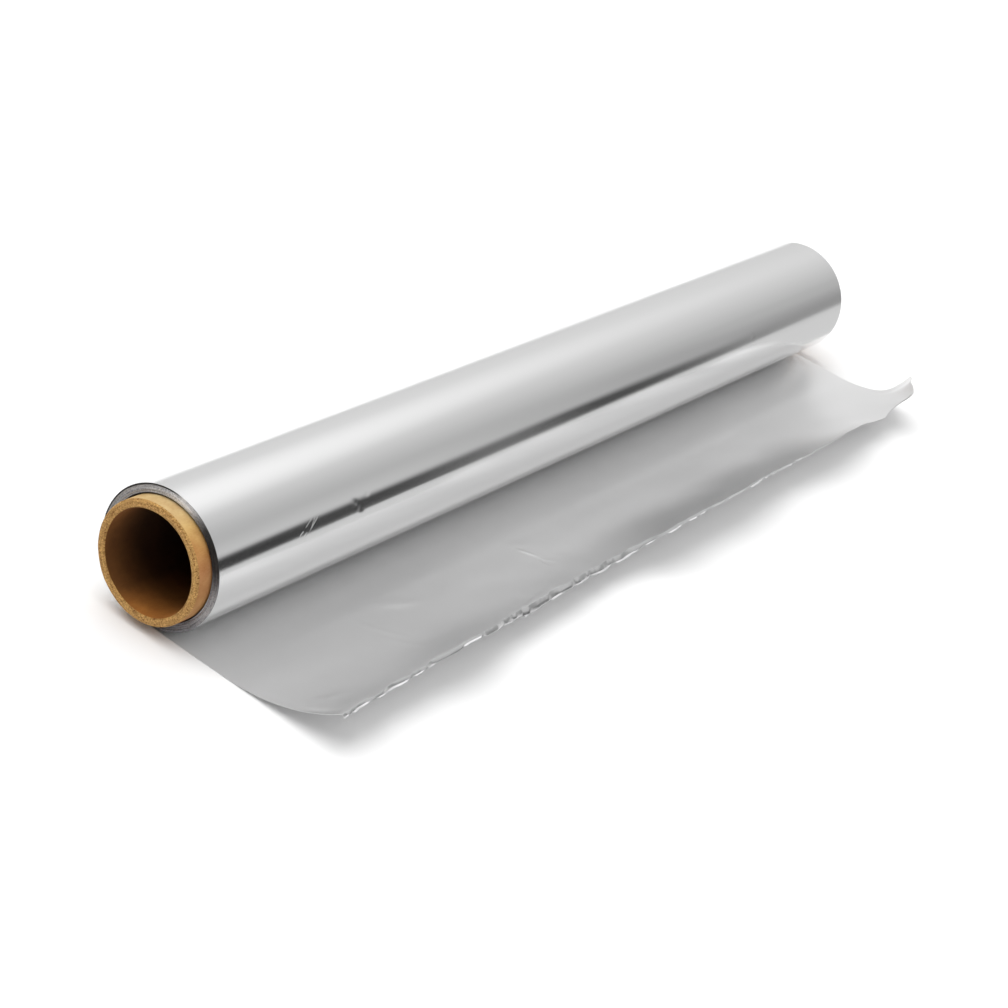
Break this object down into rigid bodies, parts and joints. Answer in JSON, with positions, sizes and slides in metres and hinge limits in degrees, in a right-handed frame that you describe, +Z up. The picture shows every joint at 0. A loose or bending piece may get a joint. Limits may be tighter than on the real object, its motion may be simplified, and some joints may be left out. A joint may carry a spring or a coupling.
{
  "type": "aluminium foil roll",
  "caption": "Roll of kitchen aluminium foil on a cardboard core, with a short loose length drawn out in front to a torn edge.",
  "frame": {"origin": "on the axis of the roll and of the core's bore, halfway along", "axes": "+X along the roll, towards the end whose sheet corner is turned up; the loose sheet lies towards -Y; +Z up"},
  "size_m": [0.3086, 0.0727, 0.0343],
  "materials": {
    "foil": "bright rolled aluminium foil",
    "core_board": "wound kraft paperboard"
  },
  "bodies": {
    "root": {"core": "core_board", "foil": "foil"}
  },
  "joints": []
}
